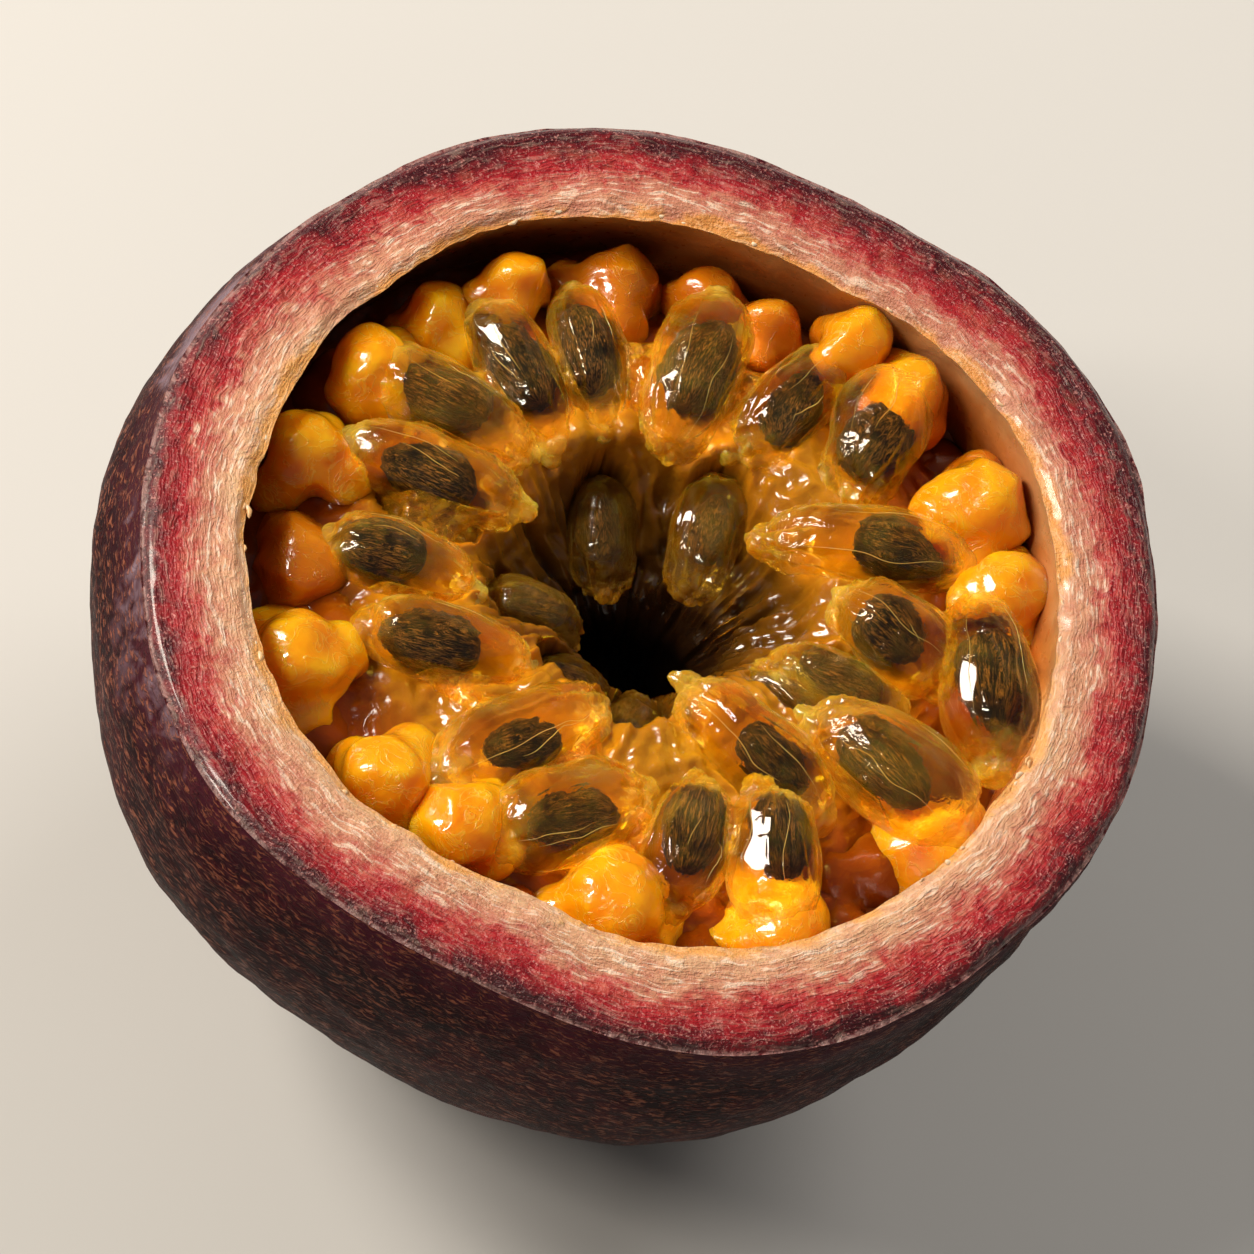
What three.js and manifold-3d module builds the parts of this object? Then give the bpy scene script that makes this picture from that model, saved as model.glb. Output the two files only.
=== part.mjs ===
// Half a passion fruit, cut across a little above its fullest part and resting on its rounded end.
// Millimetres, +Z up. The origin is the middle of the small flat spot that the fruit stands on.
//
// From outside in: the rind (skin and red flesh), the pale pith that lines it, and the pulp.
// The pulp is a bed of jelly round a central hollow, with seed sacs lying in it like the spokes
// of a wheel and stalk bulbs between their outer ends and the wall.

import * as THREE from 'three';
import Module from 'manifold-3d';
import { mergeVertices } from 'three/addons/utils/BufferGeometryUtils.js';

const wasm = await Module();
wasm.setup();

// ---- Driving dimensions ------------------------------------------------------------------

const BODY_RADIUS = 29.7; // outside of the skin, from the middle of the fullest part
const CUT_RISE = 6.1; // the cut lies this far above the fullest part
const FOOT_RADIUS = 5; // flat spot under the fruit
const RIND_THICKNESS = 3.6; // skin and red flesh
const PITH_THICKNESS = 1.7;
const GAP = 0.3; // kept between pieces that touch
const RIM_SHIFT = 1.4; // the cut face sits this far towards +X of the fullest part
const SKIN_ROUNDING = 0.5; // at the outer edge of the cut

// The fruit isn't quite round: each wave swells it by `size` of its radius at its lobes.
const OUTLINE_WAVES = [
  { lobes: 3, size: 0.006, turn: 66 },
  { lobes: 4, size: 0.016, turn: 40 },
  { lobes: 6, size: 0.010, turn: -5 },
];

const SIDES = 34; // facets round the fruit
const SKIN_STEPS = 9; // facets from the foot to the rim
const WALL_STEP = 14.5; // degrees between the rings of the inner layers

// Height of the fullest part and of the cut.
const BELLY_Z = Math.sqrt(BODY_RADIUS ** 2 - FOOT_RADIUS ** 2);
const RIM_Z = BELLY_Z + CUT_RISE;

// Radii of the layers, from the middle of the fullest part.
const RIND_INSIDE = BODY_RADIUS - RIND_THICKNESS;
const PITH_OUTSIDE = RIND_INSIDE - GAP;
const PITH_INSIDE = PITH_OUTSIDE - PITH_THICKNESS;
const PULP_OUTSIDE = PITH_INSIDE - GAP;

// The pulp bed's top from the wall to the bottom of its hollow: distance from the axis, depth
// under the cut.
const BED_TOP = [
  [21.5, 8.0],
  [18.0, 7.2],
  [13.5, 7.1],
  [10.0, 7.9],
  [7.6, 9.8],
  [5.6, 12.2],
  [4.2, 15.0],
  [3.2, 20.4],
  [0, 21.2],
];
const BED_EDGE_DEPTH = 8.8;
const BED_SIDES = 24;
// The hollow leans away from the axis of the cut.
const HOLLOW_SHIFT = { x: 0.8, y: 1.6, reach: 9, floor: 24 };

// Each seed sac: bearing round the cut (degrees from +X), distance from its axis, depth of the
// sac's middle under the cut, turn away from pointing straight out (degrees), rise of its outer
// end (degrees), length, width.
const UPPER_SACS = [
  [-165, 14.0, 4.2, -8, 3, 8.5, 4.3],
  [-141, 12.0, 4.0, -26, 6, 9.4, 4.7],
  [-107, 12.2, 3.6, -21, 0, 10.7, 5.3],
  [-88, 14.8, 3.6, -48, 0, 9.2, 5.8],
  [-63, 15.5, 3.6, -20, -8, 7.6, 4.7],
  [-47, 17.3, 3.3, -22, -10, 7.9, 5.1],
  [-37, 10.9, 3.8, 15, -8, 10.4, 4.9],
  [-16, 16.7, 3.3, 0, -3, 10.4, 6.2],
  [9, 19.8, 3.3, -74, -3, 10.4, 5.6],
  [16, 14.3, 3.8, -37, -4, 7.8, 5.3],
  [40, 13.7, 3.8, -23, -2, 11.5, 4.7],
  [61, 17.8, 3.2, 26, 4, 8.2, 5.6],
  [78, 16.0, 3.8, -9, 4, 8.4, 4.5],
  [99, 15.1, 3.2, -7, 3, 10.3, 5.4],
  [121, 16.0, 3.8, 4, 3, 8.6, 4.0],
  [137, 15.8, 3.8, 2, 3, 9.0, 4.4],
  [155, 15.8, 3.5, 16, 0, 10.2, 4.9],
  [170, 14.0, 3.8, 13, 3, 10.4, 4.4],
];

// The sacs of the layer below, down the sides of the hollow.
const DEEP_SACS = [
  [176, 13.4, 7.0, 3, 0, 6.4, 3.8],
  [1, 12.0, 5.6, -7, -3, 8.4, 4.2],
  [-6, 10.0, 6.6, -15, 0, 6.2, 3.9],
  [78, 8.2, 8.0, 18, 8, 7.3, 4.2],
  [121, 7.5, 9.5, -7, 9, 6.6, 4.2],
  [-175, 5.8, 9.2, 11, 20, 6.2, 3.9],
  [-118, 4.6, 9.8, -53, 20, 5.2, 3.6],
  [-70, 5.2, 10.2, -26, 19, 6.2, 3.6],
];

// Each stalk bulb, by the wall: bearing, distance from the axis, depth, radius.
const BULBS = [
  [-164, 19.5, 6.0, 2.7],
  [-144, 20.4, 4.5, 2.8],
  [-120, 19.2, 4.5, 2.7],
  [-105, 18.5, 4.1, 2.5],
  [-76, 18.7, 5.0, 3.0],
  [-49, 20.6, 5.2, 2.9],
  [-19, 20.9, 5.2, 3.1],
  [27, 21.4, 4.0, 2.3],
  [41, 20.8, 3.7, 2.8],
  [63, 21.5, 3.2, 2.2],
  [75, 21.4, 2.6, 2.0],
  [88, 20.4, 4.0, 1.7],
  [99, 21.6, 5.0, 1.9],
  [114, 21.2, 5.0, 2.5],
  [131, 21.4, 3.4, 1.9],
  [144, 21.4, 5.0, 2.3],
  [159, 20.9, 3.7, 2.3],
  [178, 20.8, 4.2, 2.5],
];

// Facets round and along a sac or a bulb, and the coarser ones of the room kept clear for it.
const SAC_FACETS = { sides: 8, steps: 7 };
const BULB_FACETS = { sides: 8, steps: 6 };
const ROOM_FACETS = { sides: 7, steps: 5 };
const SAC_BLUNTNESS = 0.8; // under 1 fills out a sac's ends
const SAC_TAPER = 0.12; // a sac is this much slimmer towards the hollow, and fuller outside
const BULB_LOBES = { count: 3, size: 0.08 };

const MERGE_DISTANCE = 1e-3;

// ---- Materials ---------------------------------------------------------------------------

const rindMaterial = new THREE.MeshStandardMaterial({ color: 0x5c1a2a, roughness: 0.5 });
const pithMaterial = new THREE.MeshStandardMaterial({ color: 0xe8b79a, roughness: 0.6 });
const bedMaterial = new THREE.MeshStandardMaterial({ color: 0x9a4a06, roughness: 0.3 });
const bulbMaterial = new THREE.MeshStandardMaterial({ color: 0xf08c08, roughness: 0.25 });

// Each sac has a material of its own, because one is paler where it holds more juice.
function sacMaterial(length) {
  const shade = new THREE.Color(0xb87a10);
  shade.lerp(new THREE.Color(0xe0a428), THREE.MathUtils.clamp((length - 6) / 6, 0, 1));
  return new THREE.MeshStandardMaterial({ color: shade, roughness: 0.12 });
}

// ---- Helpers -----------------------------------------------------------------------------

// A closed geometry with its shared corners merged, as a solid that can be joined and cut.
function toSolid(geometry) {
  const bare = geometry.clone();
  bare.deleteAttribute('normal');
  bare.deleteAttribute('uv');
  const merged = mergeVertices(bare, MERGE_DISTANCE);
  const corners = merged.index.array;
  const kept = [];
  for (let i = 0; i < corners.length; i += 3) {
    const [a, b, c] = [corners[i], corners[i + 1], corners[i + 2]];
    if (a !== b && b !== c && c !== a) kept.push(a, b, c);
  }
  const mesh = new wasm.Mesh({
    numProp: 3,
    vertProperties: merged.attributes.position.array,
    triVerts: new Uint32Array(kept),
  });
  return new wasm.Manifold(mesh);
}

function toGeometry(solid) {
  const mesh = solid.getMesh();
  const geometry = new THREE.BufferGeometry();
  geometry.setAttribute('position', new THREE.BufferAttribute(mesh.vertProperties, 3));
  geometry.setIndex(new THREE.BufferAttribute(mesh.triVerts, 1));
  geometry.computeVertexNormals();
  return geometry;
}

// What a cut leaves of a piece, without any crumbs that came loose.
function biggestPiece(solid) {
  const pieces = solid.decompose();
  return pieces.reduce((best, piece) => (piece.volume() > best.volume() ? piece : best));
}

// Turns a profile of [distance from the axis, height] round +Z.
function turned(profile, sides) {
  const points = profile.map(([distance, height]) => new THREE.Vector2(distance, height));
  return new THREE.LatheGeometry(points, sides).rotateX(Math.PI / 2);
}

function smoothStep(value) {
  const t = THREE.MathUtils.clamp(value, 0, 1);
  return t * t * (3 - 2 * t);
}

// Moves every corner of a geometry by a function of its place.
function reshape(geometry, move) {
  const place = geometry.attributes.position;
  const point = new THREE.Vector3();
  for (let i = 0; i < place.count; i += 1) {
    point.fromBufferAttribute(place, i);
    move(point);
    place.setXYZ(i, point.x, point.y, point.z);
  }
  return geometry;
}

// Gives a round layer the fruit's uneven outline, and its sideways lean towards the cut.
function fruitShape(point) {
  const across = Math.hypot(point.x, point.y);
  const bearing = Math.atan2(point.y, point.x);
  const sideways = across ** 2 / (across ** 2 + (point.z - BELLY_Z) ** 2 + 1e-9);
  let swell = 1;
  for (const { lobes, size, turn } of OUTLINE_WAVES) {
    swell += sideways * size * Math.cos(lobes * (bearing - THREE.MathUtils.degToRad(turn)));
  }
  point.x = point.x * swell + RIM_SHIFT * smoothStep((point.z - BELLY_Z) / CUT_RISE);
  point.y *= swell;
}

// A ring of a layer of the given radius, at an angle from straight down.
function onLayer(radius, angle) {
  const turn = THREE.MathUtils.degToRad(angle);
  return [radius * Math.sin(turn), BELLY_Z - radius * Math.cos(turn)];
}

// The angle at which a layer meets a level that lies `depth` under the cut.
function angleAtDepth(radius, depth) {
  return THREE.MathUtils.radToDeg(Math.acos((depth - CUT_RISE) / radius));
}

// The profile of an inner layer, from the axis up to a depth under the cut.
function wallProfile(radius, depth = 0) {
  const top = angleAtDepth(radius, depth);
  const profile = [[0, BELLY_Z - radius]];
  for (let angle = WALL_STEP; angle < top - WALL_STEP / 4; angle += WALL_STEP) {
    profile.push(onLayer(radius, angle));
  }
  profile.push(onLayer(radius, top));
  return profile;
}

// ---- Rind, pith and pulp bed -------------------------------------------------------------

function rindGeometry() {
  const footAngle = THREE.MathUtils.radToDeg(Math.asin(FOOT_RADIUS / BODY_RADIUS));
  const rimAngle = angleAtDepth(BODY_RADIUS, SKIN_ROUNDING);
  const profile = [[0, 0]];
  for (let i = 0; i <= SKIN_STEPS; i += 1) {
    const angle = THREE.MathUtils.lerp(footAngle, rimAngle, i / SKIN_STEPS);
    profile.push(onLayer(BODY_RADIUS, angle));
  }
  const [rimRadius] = onLayer(BODY_RADIUS, angleAtDepth(BODY_RADIUS, 0));
  profile.push([rimRadius - SKIN_ROUNDING, RIM_Z]);
  profile.push(...wallProfile(RIND_INSIDE).reverse());
  return reshape(turned(profile, SIDES), fruitShape);
}

function pithGeometry() {
  const profile = wallProfile(PITH_OUTSIDE);
  profile.push(...wallProfile(PITH_INSIDE).reverse());
  return reshape(turned(profile, SIDES), fruitShape);
}

// The room inside the pith, a gap in from it, which nothing in the pulp may leave.
function cavitySolid() {
  const profile = wallProfile(PULP_OUTSIDE);
  profile.push([0, RIM_Z]);
  return toSolid(reshape(turned(profile, SIDES), fruitShape));
}

function leanHollow(point) {
  const { x, y, reach, floor } = HOLLOW_SHIFT;
  const near = Math.exp(-((Math.hypot(point.x, point.y) / reach) ** 2));
  const above = smoothStep((point.z - (RIM_Z - floor)) / 2);
  point.x += RIM_SHIFT * above + x * near * above;
  point.y += y * near * above;
}

function bedSolid() {
  const profile = wallProfile(PULP_OUTSIDE, BED_EDGE_DEPTH);
  for (const [distance, depth] of BED_TOP) profile.push([distance, RIM_Z - depth]);
  return toSolid(reshape(turned(profile, BED_SIDES), leanHollow));
}

// ---- Seed sacs and stalk bulbs -----------------------------------------------------------

// How much wider a shape of few facets has to be to hold a round one.
function roomFor(size) {
  return (size + GAP) / Math.cos(Math.PI / ROOM_FACETS.sides);
}

// A sac lies along its own +X, with its outer end at +X.
function sacGeometry(half, thick, { sides, steps }) {
  const profile = [];
  for (let i = 0; i <= steps; i += 1) {
    const turn = (Math.PI * i) / steps;
    const along = -Math.cos(turn);
    const round = i === 0 || i === steps ? 0 : Math.sin(turn) ** SAC_BLUNTNESS;
    profile.push(new THREE.Vector2(thick * round * (1 + SAC_TAPER * along), half * along));
  }
  return new THREE.LatheGeometry(profile, sides).rotateZ(-Math.PI / 2);
}

function bulbGeometry(radius, bearing, { sides, steps }) {
  const ball = new THREE.SphereGeometry(radius, sides, steps);
  return reshape(ball.rotateX(Math.PI / 2), (point) => {
    const lobe = Math.cos(BULB_LOBES.count * Math.atan2(point.y, point.x) + bearing);
    const level = Math.hypot(point.x, point.y) / radius;
    point.multiplyScalar(1 + BULB_LOBES.size * lobe * level);
  });
}

// Where a piece of the pulp lies: by its bearing, distance and depth from the cut's middle.
function placeInPulp(bearing, distance, depth, turn = 0, rise = 0) {
  const round = THREE.MathUtils.degToRad(bearing);
  const place = new THREE.Object3D();
  place.rotation.order = 'ZYX';
  place.rotation.z = THREE.MathUtils.degToRad(bearing + turn);
  place.rotation.y = -THREE.MathUtils.degToRad(rise);
  place.position.set(
    RIM_SHIFT + distance * Math.cos(round),
    distance * Math.sin(round),
    RIM_Z - depth,
  );
  place.updateMatrix();
  return place;
}

// One entry for each sac and bulb: its name, material and place, its solid, and the room that
// it takes, which is its solid grown by the gap.
function sacPiece(name, [bearing, distance, depth, turn, rise, length, width]) {
  const place = placeInPulp(bearing, distance, depth, turn, rise);
  const [half, thick] = [length / 2, width / 2];
  const own = sacGeometry(half, thick, SAC_FACETS);
  const clear = sacGeometry(roomFor(half), roomFor(thick), ROOM_FACETS);
  const solid = toSolid(own.applyMatrix4(place.matrix));
  const room = toSolid(clear.applyMatrix4(place.matrix));
  return { name, place, solid, room, material: sacMaterial(length) };
}

function bulbPiece(name, [bearing, distance, depth, radius]) {
  const place = placeInPulp(bearing, distance, depth);
  const own = bulbGeometry(radius, bearing, BULB_FACETS);
  const clear = bulbGeometry(roomFor(radius), bearing, ROOM_FACETS);
  const solid = toSolid(own.applyMatrix4(place.matrix));
  const room = toSolid(clear.applyMatrix4(place.matrix));
  return { name, place, solid, room, material: bulbMaterial };
}

function numbered(word, rows, makePiece) {
  return rows.map((row, i) => makePiece(`${word}_${String(i + 1).padStart(2, '0')}`, row));
}

// ---- Assembly ----------------------------------------------------------------------------

const group = new THREE.Group();

function addMesh(name, geometry, material, place) {
  const mesh = new THREE.Mesh(geometry, material);
  mesh.name = name;
  if (place) {
    geometry.applyMatrix4(place.matrix.clone().invert());
    mesh.position.copy(place.position);
    mesh.quaternion.copy(place.quaternion);
  }
  group.add(mesh);
}

addMesh('rind', toGeometry(toSolid(rindGeometry())), rindMaterial);
addMesh('pith', toGeometry(toSolid(pithGeometry())), pithMaterial);

// Each piece gives way to the ones before it: upper sacs, then deep sacs, then bulbs.
const pieces = [
  ...numbered('sac', UPPER_SACS, sacPiece),
  ...numbered('deep_sac', DEEP_SACS, sacPiece),
  ...numbered('bulb', BULBS, bulbPiece),
];
const cavity = cavitySolid();
let taken = null;
for (const { name, place, solid, room, material } of pieces) {
  const free = taken ? solid.subtract(taken) : solid;
  const shape = biggestPiece(free.intersect(cavity));
  addMesh(name, toGeometry(shape), material, place);
  taken = taken ? taken.add(room) : room;
}

const bed = biggestPiece(bedSolid().intersect(cavity).subtract(taken));
addMesh('pulp_bed', toGeometry(bed), bedMaterial);

export default group;
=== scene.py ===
"""Half a passion fruit, cut side up, resting on its rounded end.

Every piece is shaped in millimetres and settled into metres, in the frame of the solids.
"""
import math
import random

import bpy
import numpy as np
from mathutils import Matrix, Vector, noise


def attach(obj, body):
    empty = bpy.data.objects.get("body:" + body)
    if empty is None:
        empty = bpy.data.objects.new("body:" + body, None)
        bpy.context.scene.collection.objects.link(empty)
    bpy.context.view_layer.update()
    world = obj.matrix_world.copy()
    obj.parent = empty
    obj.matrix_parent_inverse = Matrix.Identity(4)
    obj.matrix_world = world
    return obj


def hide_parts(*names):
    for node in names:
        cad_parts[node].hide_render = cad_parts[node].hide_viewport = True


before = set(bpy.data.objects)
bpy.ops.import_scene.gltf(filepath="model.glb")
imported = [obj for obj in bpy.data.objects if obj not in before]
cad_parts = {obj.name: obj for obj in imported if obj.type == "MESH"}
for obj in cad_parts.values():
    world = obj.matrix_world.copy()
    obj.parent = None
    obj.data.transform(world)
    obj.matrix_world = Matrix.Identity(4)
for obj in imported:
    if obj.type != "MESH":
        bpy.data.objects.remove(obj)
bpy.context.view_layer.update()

MM = 0.001

# ---- Sizes of the fruit, in millimetres ----

BODY_RADIUS = 29.7
CUT_RISE = 6.1
FOOT_RADIUS = 5.0
RIND_THICKNESS = 3.6
SHELL_THICKNESS = 5.7  # skin, red flesh and pith together
SEAM_LAP = 0.8  # how far the pith and the rind reach into each other at the cut
SEAM_DIP = 0.04
RIM_SHIFT = 1.4
OUTLINE_WAVES = ((3, 0.006, 66), (4, 0.016, 40), (6, 0.010, -5))  # lobes, size, turn
BELLY_Z = math.sqrt(BODY_RADIUS**2 - FOOT_RADIUS**2)
RIM_Z = BELLY_Z + CUT_RISE
EDGE_WIDTH = 0.7  # of the skin's rounded edge
EDGE_DROP = 0.55
EDGE_WANDER = 0.5 / 23.5  # how far the pith's inner edge strays, as a share of its radius
LIP_DROP = 0.35  # where the pith falls away to its inner edge
SIDES = 384  # facets round the rim

# Each seed sac: bearing, distance from the axis, depth under the cut, turn, rise of its outer
# end, length, width; then how far its seed lies towards the outer end and across, and the
# seed's length.
SACS = {
    "sac_01": (-165, 14.0, 4.2, -8, 3, 8.5, 4.3, 1.5, -0.3, 5.2),
    "sac_02": (-141, 12.0, 4.0, -26, 6, 9.4, 4.7, 1.1, 0.2, 5.6),
    "sac_03": (-107, 12.2, 3.6, -21, 0, 10.7, 5.3, 0.4, 0.3, 4.3),
    "sac_04": (-88, 14.8, 3.6, -48, 0, 9.2, 5.8, 0.3, 0.4, 5.0),
    "sac_05": (-63, 15.5, 3.6, -20, -8, 7.6, 4.7, -0.8, 0.2, 5.2),
    "sac_06": (-47, 17.3, 3.3, -22, -10, 7.9, 5.1, -0.9, 0.3, 5.0),
    "sac_07": (-37, 10.9, 3.8, 15, -8, 10.4, 4.9, 1.1, 0.3, 4.8),
    "sac_08": (-16, 16.7, 3.3, 0, -3, 10.4, 6.2, -0.2, -0.1, 5.9),
    "sac_09": (9, 19.8, 3.3, -74, -3, 10.4, 5.6, 0.1, 0.3, 5.9),
    "sac_10": (16, 14.3, 3.8, -37, -4, 7.8, 5.3, -0.2, -0.1, 4.0),
    "sac_11": (40, 13.7, 3.8, -23, -2, 11.5, 4.7, 1.7, -0.1, 5.2),
    "sac_12": (61, 17.8, 3.2, 26, 4, 8.2, 5.6, 0.0, -0.2, 5.4),
    "sac_13": (78, 16.0, 3.8, -9, 4, 8.4, 4.5, -0.1, -0.4, 4.8),
    "sac_14": (99, 15.1, 3.2, -7, 3, 10.3, 5.4, 0.4, -0.2, 6.0),
    "sac_15": (121, 16.0, 3.8, 4, 3, 8.6, 4.0, 0.3, 0.3, 5.6),
    "sac_16": (137, 15.8, 3.8, 2, 3, 9.0, 4.4, 0.5, 0.0, 5.6),
    "sac_17": (155, 15.8, 3.5, 16, 0, 10.2, 4.9, 0.9, -0.3, 5.6),
    "sac_18": (170, 14.0, 3.8, 13, 3, 10.4, 4.4, 0.4, 0.3, 5.6),
    "deep_sac_01": (176, 13.4, 7.0, 3, 0, 6.4, 3.8, 1.0, -0.4, 4.6),
    "deep_sac_02": (1, 12.0, 5.6, -7, -3, 8.4, 4.2, -0.2, 0.6, 5.0),
    "deep_sac_03": (-6, 10.0, 6.6, -15, 0, 6.2, 3.9, -0.3, -0.2, 4.4),
    "deep_sac_04": (78, 8.2, 8.0, 18, 8, 7.3, 4.2, 0.4, -0.2, 4.2),
    "deep_sac_05": (121, 7.5, 9.5, -7, 9, 6.6, 4.2, 0.3, 0.2, 4.0),
    "deep_sac_06": (-175, 5.8, 9.2, 11, 20, 6.2, 3.9, 0.1, -0.3, 3.8),
    "deep_sac_07": (-118, 4.6, 9.8, -53, 20, 5.2, 3.6, -0.1, -0.3, 3.2),
    "deep_sac_08": (-70, 5.2, 10.2, -26, 19, 6.2, 3.6, -0.4, -0.2, 3.4),
}

# How milky a sac's jelly is: the upper ones, the deep ones, and those that differ.
UPPER_VEIL = 0.01
DEEP_VEIL = 0.07
VEILS = {
    "sac_04": 0.05,
    "sac_08": 0.06,
    "sac_14": 0.05,
    "sac_17": 0.07,
    "deep_sac_01": 0.09,
    "deep_sac_05": 0.06,
}

# Half-width of a seed as a share of its length: of most, and of those that differ.
USUAL_GIRTH = 0.29
SEED_GIRTH = {"sac_10": 0.42, "sac_14": 0.31, "sac_07": 0.27}

# Each stalk bulb: bearing, distance, depth, radius.
BULBS = {
    "bulb_01": (-164, 19.5, 6.0, 2.7),
    "bulb_02": (-144, 20.4, 4.5, 2.8),
    "bulb_03": (-120, 19.2, 4.5, 2.7),
    "bulb_04": (-105, 18.5, 4.1, 2.5),
    "bulb_05": (-76, 18.8, 5.1, 3.0),
    "bulb_06": (-49, 20.8, 5.7, 2.9),
    "bulb_07": (-19, 20.9, 6.5, 3.1),
    "bulb_08": (27, 21.4, 4.0, 2.3),
    "bulb_09": (41, 20.8, 3.7, 2.8),
    "bulb_10": (63, 21.5, 3.2, 2.2),
    "bulb_11": (75, 21.4, 2.6, 2.0),
    "bulb_12": (88, 20.4, 4.0, 1.7),
    "bulb_13": (99, 21.6, 5.0, 1.9),
    "bulb_14": (114, 21.2, 5.0, 2.5),
    "bulb_15": (131, 21.4, 3.4, 1.9),
    "bulb_16": (144, 21.4, 5.0, 2.3),
    "bulb_17": (159, 20.9, 3.7, 2.3),
    "bulb_18": (178, 20.8, 4.2, 2.5),
}

# Bulbs that get more painted shade than their depth gives them: millimetres added to the depth by which
# the shader darkens them.
SHADED = {"bulb_01": 3.4}


# ---- Shader maths ----


class Signal:
    """A shader socket that can be written into sums and products."""

    def __init__(self, tree, socket):
        self.tree = tree
        self.socket = socket

    def _math(self, operation, *values):
        node = self.tree.nodes.new("ShaderNodeMath")
        node.operation = operation
        for slot, value in zip(node.inputs, values):
            if isinstance(value, Signal):
                self.tree.links.new(value.socket, slot)
            else:
                slot.default_value = value
        return Signal(self.tree, node.outputs[0])

    def __add__(self, other):
        return self._math("ADD", self, other)

    def __sub__(self, other):
        return self._math("SUBTRACT", self, other)

    def __mul__(self, other):
        return self._math("MULTIPLY", self, other)

    def __truediv__(self, other):
        return self._math("DIVIDE", self, other)

    def __pow__(self, other):
        return self._math("POWER", self, other)

    def __rsub__(self, other):
        return self._math("SUBTRACT", other, self)

    def __abs__(self):
        return self._math("ABSOLUTE", self)

    __radd__ = __add__
    __rmul__ = __mul__


class Finish:
    """The node tree of one material, built up from named calls."""

    def __init__(self, name):
        self.material = bpy.data.materials.new(name)
        self.material.use_nodes = True
        self.tree = self.material.node_tree
        self.tree.nodes.clear()
        self.output = self.tree.nodes.new("ShaderNodeOutputMaterial")
        spot = self.node("ShaderNodeTexCoord", out="Object")
        self.place = self.node(
            "ShaderNodeVectorMath", {"operation": "SCALE"}, {0: spot, "Scale": 1 / MM}
        )  # millimetres

    def node(self, kind, settings=None, sockets=None, out=0):
        """Any node: its type, its settings, then the values or links of its sockets."""
        node = self.tree.nodes.new(kind)
        for name, value in (settings or {}).items():
            setattr(node, name, value)
        for name, value in (sockets or {}).items():
            if isinstance(value, Signal):
                self.tree.links.new(value.socket, node.inputs[name])
            else:
                node.inputs[name].default_value = value
        return Signal(self.tree, node.outputs[out])

    def noise(self, size, detail=2.0, where=None, wander=0.0):
        """Soft noise whose lumps are about `size` millimetres across."""
        return self.node(
            "ShaderNodeTexNoise",
            None,
            {
                "Vector": where or self.place,
                "Scale": 1 / size,
                "Detail": detail,
                "Distortion": wander,
            },
            out="Fac",
        )

    def cells(self, size):
        """How far each place is from the middle of its cell, with cells of `size` millimetres."""
        return self.node(
            "ShaderNodeTexVoronoi", None, {"Vector": self.place, "Scale": 1 / size}, out="Distance"
        )

    def step(self, value, low, high):
        """0 below low, 1 above high, smooth between."""
        return self.node(
            "ShaderNodeMapRange",
            {"interpolation_type": "SMOOTHSTEP"},
            {"Value": value, "From Min": low, "From Max": high},
        )

    def ramp(self, value, *stops):
        """Hex tones that run into each other, each at its own value."""
        ramp = self.node("ShaderNodeValToRGB", None, {"Fac": value})
        elements = ramp.socket.node.color_ramp.elements
        while len(elements) < len(stops):
            elements.new(1.0)
        for element, (at, colour) in zip(elements, stops):
            element.position = at
            element.color = tone(colour)
        return ramp

    def mix(self, amount, first, second, blend="MIX"):
        """Two colours mixed; each is a signal or a hex tone."""
        first = first if isinstance(first, Signal) else tone(first)
        second = second if isinstance(second, Signal) else tone(second)
        return self.node(
            "ShaderNodeMix",
            {"data_type": "RGBA", "blend_type": blend},
            {0: amount, 6: first, 7: second},
            out=2,
        )

    def attribute(self, name):
        return self.node("ShaderNodeAttribute", {"attribute_name": name}, out="Fac")

    def vector(self, x, y, z=0.0):
        return self.node("ShaderNodeCombineXYZ", None, {0: x, 1: y, 2: z})

    def axes(self, vector=None):
        """The x, y and z of a vector, or else of the place in millimetres."""
        node = self.tree.nodes.new("ShaderNodeSeparateXYZ")
        self.tree.links.new((vector or self.place).socket, node.inputs[0])
        return [Signal(self.tree, node.outputs[i]) for i in range(3)]

    def round_the_fruit(self, shift):
        """The cosine and sine of each place's bearing from an axis at x = `shift`."""
        x, y, _ = self.axes()
        flat = self.vector(x - shift, y)
        way = self.node("ShaderNodeVectorMath", {"operation": "NORMALIZE"}, {0: flat})
        return self.axes(way)[:2]

    def bump(self, height, depth, strength=1.0):
        """Relief of `height`, `depth` millimetres deep."""
        return self.node(
            "ShaderNodeBump",
            None,
            {"Height": height, "Distance": depth * MM, "Strength": strength},
        )

    def principled(self, **sockets):
        names = {name.replace("_", " "): value for name, value in sockets.items()}
        return self.node("ShaderNodeBsdfPrincipled", None, names)

    def end(self, surface, volume=None):
        self.tree.links.new(surface.socket, self.output.inputs["Surface"])
        if volume:
            self.tree.links.new(volume.socket, self.output.inputs["Volume"])
        return self.material

    def plain(self, **sockets):
        """A finish that is one principled surface."""
        return self.end(self.principled(**sockets))


def tone(code):
    """A hex sRGB tone as the linear colour that a shader takes."""
    parts = [int(code[i : i + 2], 16) / 255 for i in (0, 2, 4)]
    return tuple(p / 12.92 if p < 0.04045 else ((p + 0.055) / 1.055) ** 2.4 for p in parts) + (1.0,)


def soft(weight, reach, scale):
    """Sockets for light that goes `scale` millimetres under the surface, further in red."""
    return {
        "Subsurface_Weight": weight,
        "Subsurface_Radius": reach,
        "Subsurface_Scale": scale * MM,
    }


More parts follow.
